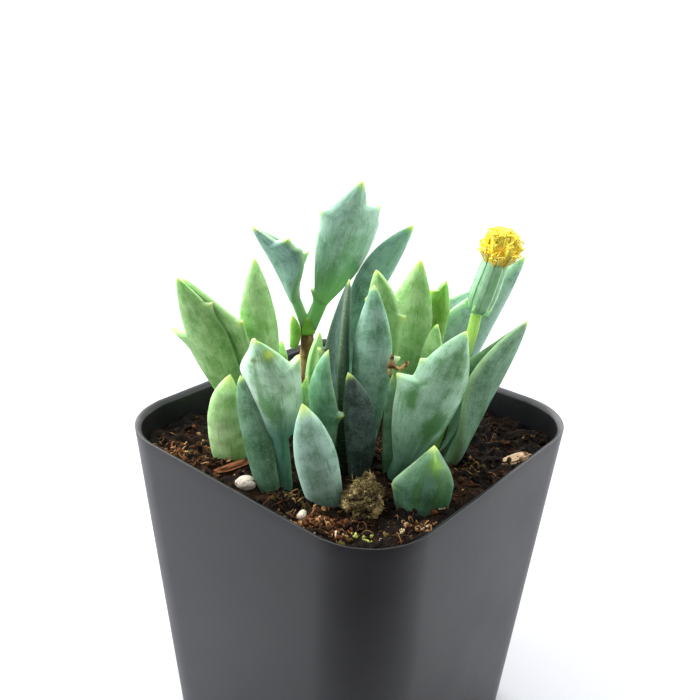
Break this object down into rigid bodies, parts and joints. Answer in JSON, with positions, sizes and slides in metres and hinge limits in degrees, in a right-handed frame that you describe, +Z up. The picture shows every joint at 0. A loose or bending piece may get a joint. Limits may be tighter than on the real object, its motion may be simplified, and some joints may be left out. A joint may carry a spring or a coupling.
{
  "type": "potted spearhead senecio",
  "caption": "Clump of glaucous spearhead-leaved senecio with one yellow flower head, growing in a small square black nursery pot.",
  "frame": {"origin": "middle of the pot's underside, where it rests", "axes": "+Z up; X and Y run square to the pot's walls; the picture looks at the near corner at +X, -Y"},
  "size_m": [0.057, 0.057, 0.1002],
  "materials": {
    "pot_plastic": "satin",
    "peat_soil": "matte",
    "moss_peat": "matte",
    "perlite": "matte",
    "pale_bark": "matte",
    "red_bark": "matte",
    "glaucous_leaf": "matte",
    "young_leaf": "matte",
    "dark_leaf": "matte",
    "withered_leaf": "matte",
    "woody_stem": "matte",
    "flower_stalk": "satin",
    "flower_bracts": "matte",
    "florets": "matte"
  },
  "bodies": {
    "root": {"square_pot": "pot_plastic", "soil": "peat_soil", "peat_clump": "moss_peat", "perlite_1": "perlite", "perlite_2": "perlite", "perlite_3": "perlite", "perlite_4": "perlite", "bark_chip_right": "pale_bark", "bark_chip_left": "red_bark", "left_shoot": "young_leaf", "tall_crown": "young_leaf", "back_shoot": "glaucous_leaf", "front_left_shoot": "glaucous_leaf", "young_leaf_left": "young_leaf", "young_leaf_front": "glaucous_leaf", "centre_shoot": "dark_leaf", "right_shoot": "glaucous_leaf", "back_right_shoot": "young_leaf", "leaning_shoot": "glaucous_leaf", "young_leaf_right": "young_leaf", "woody_stem": "woody_stem", "flower_stalk": "flower_stalk", "flower_bracts": "flower_bracts", "florets": "florets", "withered_tip": "withered_leaf"}
  },
  "joints": []
}
